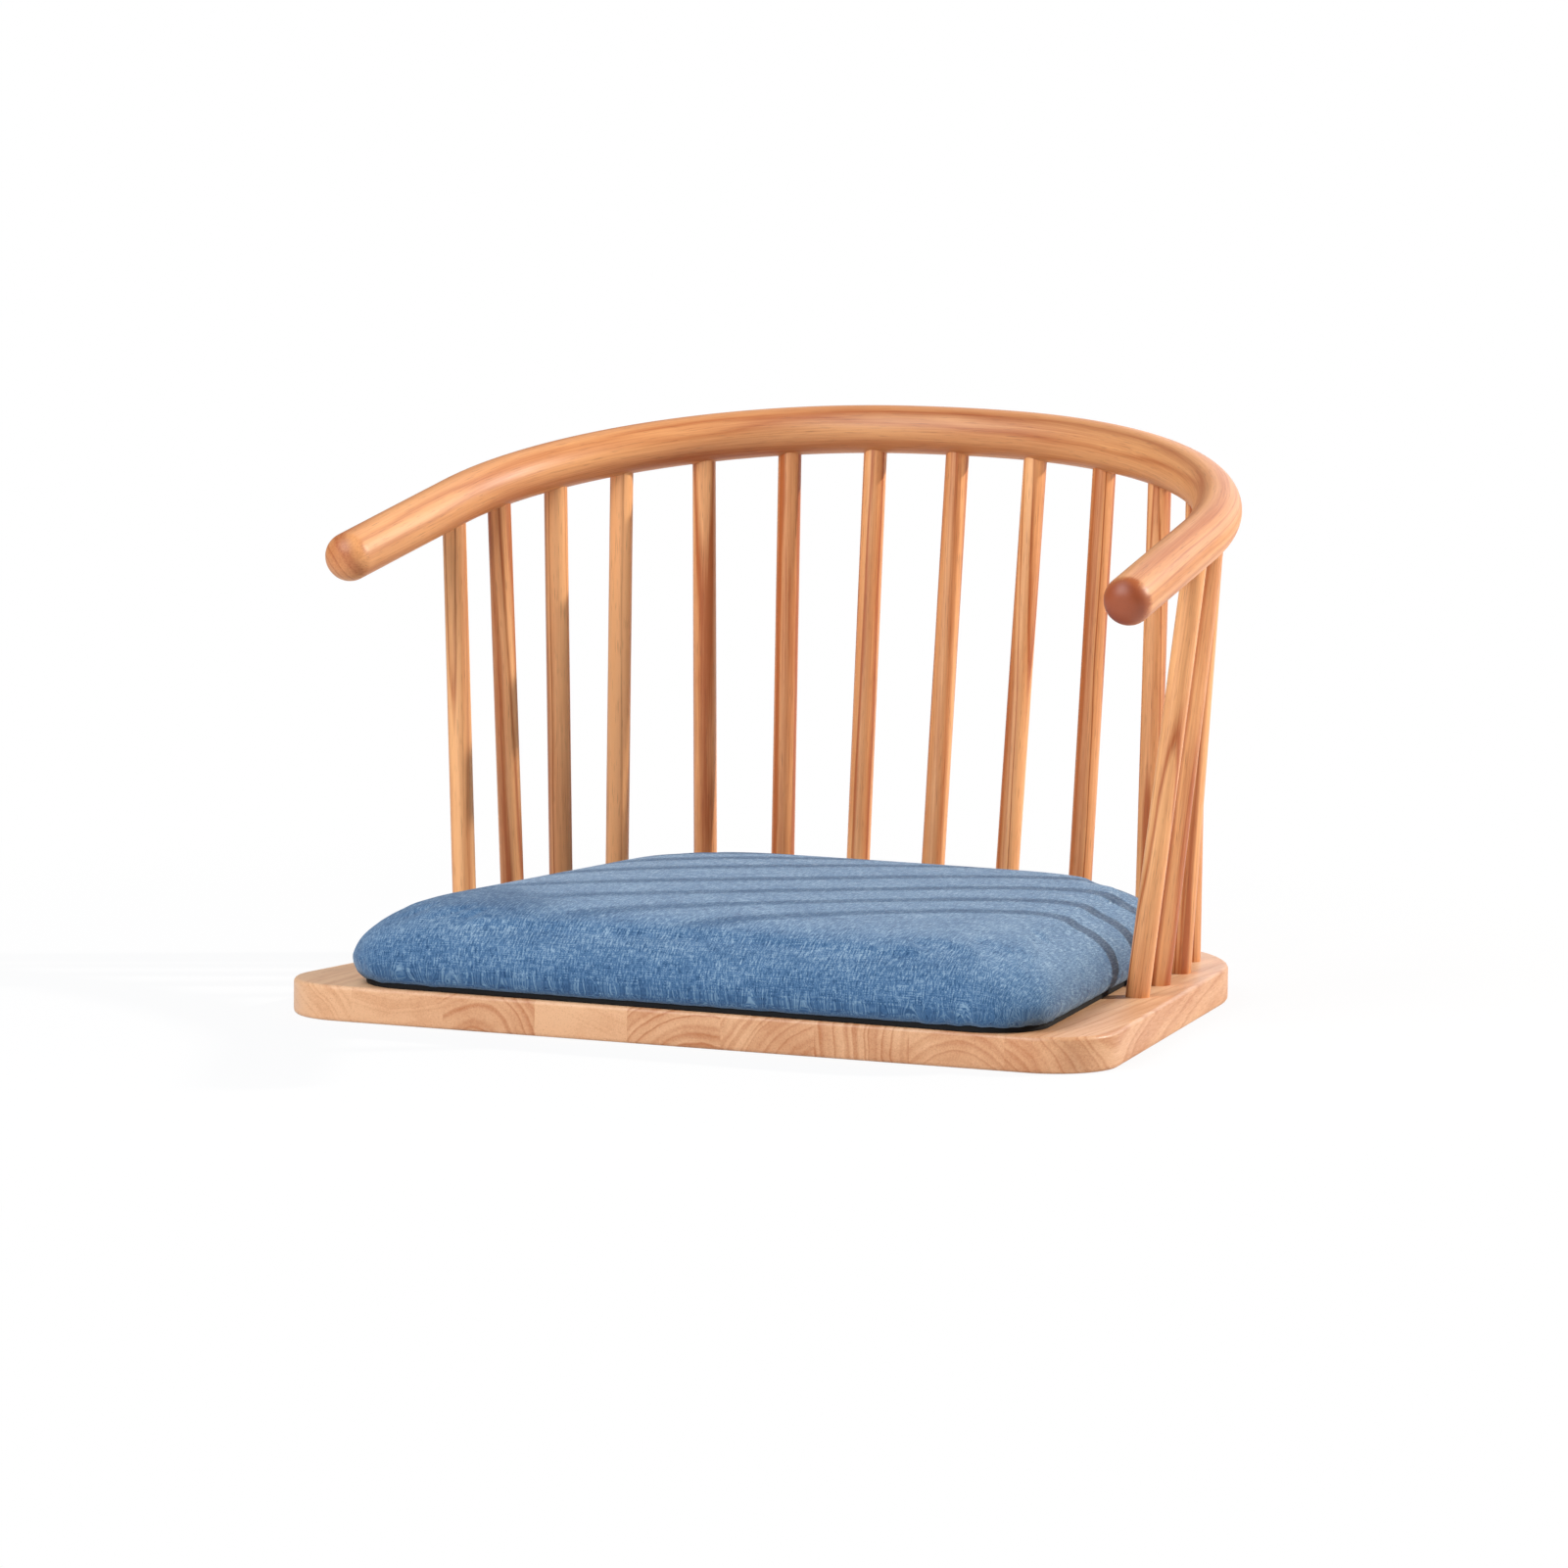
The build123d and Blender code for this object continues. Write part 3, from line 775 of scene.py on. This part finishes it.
def makeSpindle(number):
    node = f"spindle_{number:02d}"
    points = [vertex.co.copy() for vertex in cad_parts[node].data.vertices]
    heights = [point.z for point in points]
    low, high = endMiddle(points, min(heights)), endMiddle(points, max(heights))
    axis = high - low
    bm = bmesh.new()
    bmesh.ops.create_cone(bm, cap_ends=True, segments=spindleSize["segments"],
                          radius1=spindleSize["radius"], radius2=spindleSize["radius"],
                          depth=axis.length)
    roundOff(bm, arrises(bm), spindleSize["chamfer"], spindleSize["chamferSteps"])
    lengthwise = [edge for edge in bm.edges if edge.calc_length() > axis.length / 2]
    bmesh.ops.subdivide_edges(bm, edges=lengthwise, cuts=spindleSize["cuts"])
    rng = random.Random(number)
    turn = Matrix.Rotation(rng.uniform(0, 2 * math.pi), 3, "Z")
    heart = turn @ Vector((rng.uniform(*spindleSize["heart"]), 0, 0))
    lean = rng.uniform(-spindleSize["lean"], spindleSize["lean"])
    grain = bm.verts.layers.float_vector.new("grain")
    cut = bm.verts.layers.float.new("endGrain")
    tone = bm.verts.layers.float.new("tone")
    figure = bm.verts.layers.float.new("figure")
    for vertex in bm.verts:
        x, y, z = vertex.co * 1000
        vertex[grain] = (x - heart.x + lean * z, y - heart.y, z + spindleSize["logApart"] * number)
        vertex[cut] = 0.0
        vertex[figure] = 1.0
        vertex[tone] = spindleTones[number - 1]
        wander = abs(noise.noise(Vector((number, 0, z / spindleSize["sandingRun"]))))
        thinner = 1 - spindleSize["sanding"] * wander / spindleSize["radius"]
        vertex.co.x *= thinner
        vertex.co.y *= thinner
    place = Matrix.Translation((low + high) / 2) @ axis.to_track_quat("Z", "Y").to_matrix().to_4x4()
    bmesh.ops.transform(bm, matrix=place, verts=bm.verts)
    makePiece(f"spindleTurned_{number:02d}", bm, woods["lacqueredSpindleHardwood"], "frame",
              [node], spindleSize["sharp"])


for spindleNumber in range(1, len(spindleTones) + 1):
    makeSpindle(spindleNumber)
print("spindles made")


# Pad: the CAD's crowned form started slightly small, blown up as cloth with its base held,
# then puckered at the hem. It lies a little turned and off the middle, as in the photo.

padSize = {
    "sideGap": 0.0425,
    "frontOverhang": 0.0035,
    "frontRadius": 0.036,
    "radiusChange": 0.15,    # front corners get rounder, rear ones tighter, by this share of the inset
    "drawIn": 0.007,
    "widest": 0.043,         # height of the widest line above the floor
    "low": 0.027,            # underside of the cover, pressed a little into the felt
    "edgeRun": 0.054,
    "edgeRise": 0.0325,
    "crown": 0.007,
    "crownRun": 0.130,
    "underSteps": 4,         # outlines under the widest line, up the rolled edge and in the crown
    "rollSteps": 9,
    "crownSteps": 6,
    "skin": 0.001,           # the simulation starts this much smaller
    "cap": 0.002,            # and moves no point further out than this
    "sink": 0.0004,          # or further in than this
    "heldBand": 0.002,       # the cover is held from its underside up to this height
    "voxel": 0.004,
    "relaxTurns": 12,        # smoothing that takes the ridges off the corners
    "relaxShare": 0.5,
    "paintedHemShadeRun": (0.058, 0.031),    # heights between which shade is painted on the cloth, darker towards the underside
    "fill": 0.7,
}
clothRun = {
    "quality": 5,
    "mass": 0.3,
    "stiffness": 12,
    "bending": 0.6,
    "pressure": 4,
    "frames": 20,
}
gathers = {
    "height": 0.022,         # they fade out this far above the underside
    "start": 0.02,           # share of that height that stays smooth where the cover turns under
    "fade": 1.5,
    "depth": 0.0007,
    "cornerDepth": 0.0022,   # more at the front corners
    "corner": (0.2, -0.2),
    "cornerReach": (0.07, 0.05),
    "often": (130, 300),     # coarse and fine folds per metre
}
padLie = Matrix.Translation((0.006, -0.0015, 0)) @ Matrix.Rotation(math.radians(-0.5), 4, "Z")
feltSize = {"inset": 0.0075, "thick": 0.004, "round": 0.001, "roundSteps": 3, "sharp": 50}
hiddenSharp = 35


def crownRise(inset):
    return padSize["crown"] * (1 - (1 - min(inset / padSize["crownRun"], 1)) ** 2)


def padLine(skin):
    widest, edgeRun = padSize["widest"], padSize["edgeRun"]
    line = []
    for step in range(padSize["underSteps"]):
        angle = math.pi / 2 * (1 - step / padSize["underSteps"])
        depth = widest - padSize["low"]
        line.append((padSize["drawIn"] * (1 - math.cos(angle)), widest - depth * math.sin(angle)))
    for step in range(padSize["rollSteps"]):
        angle = math.pi / 2 * step / padSize["rollSteps"]
        inset = edgeRun * (1 - math.cos(angle))
        line.append((inset, widest + padSize["edgeRise"] * math.sin(angle) + crownRise(inset)))
    for step in range(padSize["crownSteps"] + 1):
        inset = edgeRun + (padSize["crownRun"] - edgeRun) * step / padSize["crownSteps"]
        line.append((inset, widest + padSize["edgeRise"] + crownRise(inset)))
    surface = [(line[0][0] + skin, line[0][1])]
    for before, here, after in zip(line, line[1:], line[2:]):
        run, rise = after[0] - before[0], after[1] - before[1]
        slope = math.hypot(run, rise)
        surface.append((here[0] + skin * rise / slope, here[1] - skin * run / slope))
    surface.append((line[-1][0], line[-1][1] - skin))
    return surface


def padRing(bm, inset, z):
    change = padSize["radiusChange"] * inset
    front = padSize["frontRadius"] + change
    rear = boardSize["rearRadius"] - padSize["sideGap"] - change
    return outlineRing(bm, padSize["sideGap"] + inset, inset - padSize["frontOverhang"],
                       front, rear, z)


def makePadForm(skin):
    bm = bmesh.new()
    rings = [padRing(bm, inset, z) for inset, z in padLine(skin)]
    for lower, upper in zip(rings, rings[1:]):
        bmesh.ops.bridge_loops(bm, edges=lower + upper)
    for ring in (rings[0], rings[-1]):
        bmesh.ops.contextual_create(bm, geom=ring)
    bmesh.ops.recalc_face_normals(bm, faces=bm.faces)
    mesh = bpy.data.meshes.new("padForm")
    bm.to_mesh(mesh)
    bm.free()
    return addObject("padForm", mesh)


def evaluatedMesh(piece):
    bpy.context.view_layer.update()
    graph = bpy.context.evaluated_depsgraph_get()
    return bpy.data.meshes.new_from_object(piece.evaluated_get(graph))


def relax(mesh):
    bm = bmesh.new()
    bm.from_mesh(mesh)
    loose = [vertex for vertex in bm.verts if vertex.co.z > padSize["widest"]]
    for turn in range(padSize["relaxTurns"]):
        bmesh.ops.smooth_vert(bm, verts=loose, factor=padSize["relaxShare"],
                              use_axis_x=True, use_axis_y=True, use_axis_z=True)
    bm.to_mesh(mesh)
    bm.free()


def blowUp(piece):
    mesh = piece.data
    base = piece.vertex_groups.new(name="base")
    heldTop = padSize["low"] + padSize["heldBand"]
    held = [vertex.index for vertex in mesh.vertices if vertex.co.z < heldTop]
    base.add(held, 1.0, "REPLACE")
    cloth = piece.modifiers.new("blow", "CLOTH")
    settings = cloth.settings
    settings.quality = clothRun["quality"]
    settings.mass = clothRun["mass"]
    settings.tension_stiffness = clothRun["stiffness"]
    settings.compression_stiffness = clothRun["stiffness"]
    settings.bending_stiffness = clothRun["bending"]
    settings.use_pressure = True
    settings.uniform_pressure_force = clothRun["pressure"]
    settings.vertex_group_mass = "base"
    settings.effector_weights.gravity = 0
    cloth.collision_settings.use_collision = False
    cloth.point_cache.frame_start = 1
    cloth.point_cache.frame_end = clothRun["frames"]
    for step in range(1, clothRun["frames"] + 1):
        bpy.context.scene.frame_set(step)
    blown = evaluatedMesh(piece)
    moved = [vertex.co.copy() for vertex in blown.vertices]
    piece.modifiers.remove(cloth)
    bpy.context.scene.frame_set(1)
    normals = [vertex.normal.copy() for vertex in mesh.vertices]
    for vertex, place, normal in zip(mesh.vertices, moved, normals):
        swell = (place - vertex.co).dot(normal)
        vertex.co += normal * min(max(swell, -padSize["sink"]), padSize["cap"])


def pucker(mesh):
    # Small gathers where the cover turns under, strongest at the front corners
    cornerX, cornerY = gathers["corner"]
    reachX, reachY = gathers["cornerReach"]
    coarse, fine = gathers["often"]
    normals = [vertex.normal.copy() for vertex in mesh.vertices]
    for vertex, normal in zip(mesh.vertices, normals):
        x, y, z = vertex.co
        rise = (z - padSize["low"]) / gathers["height"]
        if not gathers["start"] < rise < 1:
            continue
        corner = (max(0.0, 1 - abs(abs(x) - cornerX) / reachX)
                  * max(0.0, 1 - abs(y - cornerY) / reachY))
        ridge = (noise.noise(Vector((x * coarse, y * coarse, 2.0)))
                 + 0.5 * noise.noise(Vector((x * fine, y * fine, 7.0))))
        depth = gathers["depth"] + gathers["cornerDepth"] * corner
        vertex.co += normal * ridge * (1 - rise) ** gathers["fade"] * depth


def layCloth(mesh):
    # The weave's own places, as if the cloth were peeled off flat, and how near the hem it is, which
    # sets the painted shade there
    top = max(vertex.co.z for vertex in mesh.vertices)
    places = []
    for vertex in mesh.vertices:
        drop = top - vertex.co.z
        x = vertex.co.x + vertex.normal.x * drop
        y = vertex.co.y + vertex.normal.y * drop
        places.append((x * 1000, y * 1000, 0))
    setVectors(mesh, "cloth", places)
    hemTop, hemLow = padSize["paintedHemShadeRun"]
    shares = [(hemTop - vertex.co.z) / (hemTop - hemLow) for vertex in mesh.vertices]
    setNumbers(mesh, "hem", [min(max(share, 0), 1) for share in shares])


def makePad():
    form = makePadForm(padSize["skin"])
    remesh = form.modifiers.new("even", "REMESH")
    remesh.mode = "VOXEL"
    remesh.voxel_size = padSize["voxel"]
    even = evaluatedMesh(form)
    bpy.data.objects.remove(form)
    relax(even)
    piece = addObject("padCoverFilled", even)
    blowUp(piece)
    pucker(piece.data)
    soften = piece.modifiers.new("soften", "SUBSURF")
    soften.levels = soften.render_levels = 1
    smooth = evaluatedMesh(piece)
    bpy.data.objects.remove(piece)
    smooth.shade_smooth()
    smooth.materials.clear()
    smooth.materials.append(clothMaterial)
    layCloth(smooth)
    smooth.transform(padLie)
    piece = addObject("padCoverFilled", smooth)
    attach(piece, "pad")
    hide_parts("pad_cover", "pad_foam")


def makeFelt():
    bm = bmesh.new()
    ring = padRing(bm, feltSize["inset"], boardSize["thickness"])
    raiseSlab(bm, ring, feltSize["thick"])
    roundOff(bm, levelArrises(bm), feltSize["round"], feltSize["roundSteps"])
    bmesh.ops.transform(bm, matrix=padLie, verts=bm.verts)
    makePiece("feltBase", bm, plains["blackFeltWithPaintedShade"], "pad", ["pad_base_felt"],
              feltSize["sharp"])


def makeHidden(node, name, material):
    # A CAD part inside the pad, laid as the pad lies
    bm = bmesh.new()
    bm.from_mesh(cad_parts[node].data)
    bmesh.ops.remove_doubles(bm, verts=bm.verts, dist=samePlace)
    bmesh.ops.transform(bm, matrix=padLie, verts=bm.verts)
    makePiece(name, bm, material, "pad", [node], hiddenSharp)


makePad()
makeFelt()
makeHidden("pad_plywood", "plywoodBase", plains["rawBirchPlywood"])
makeHidden("pad_staples", "hemStaples", plains["galvanisedStapleWire"])
print("pad made")
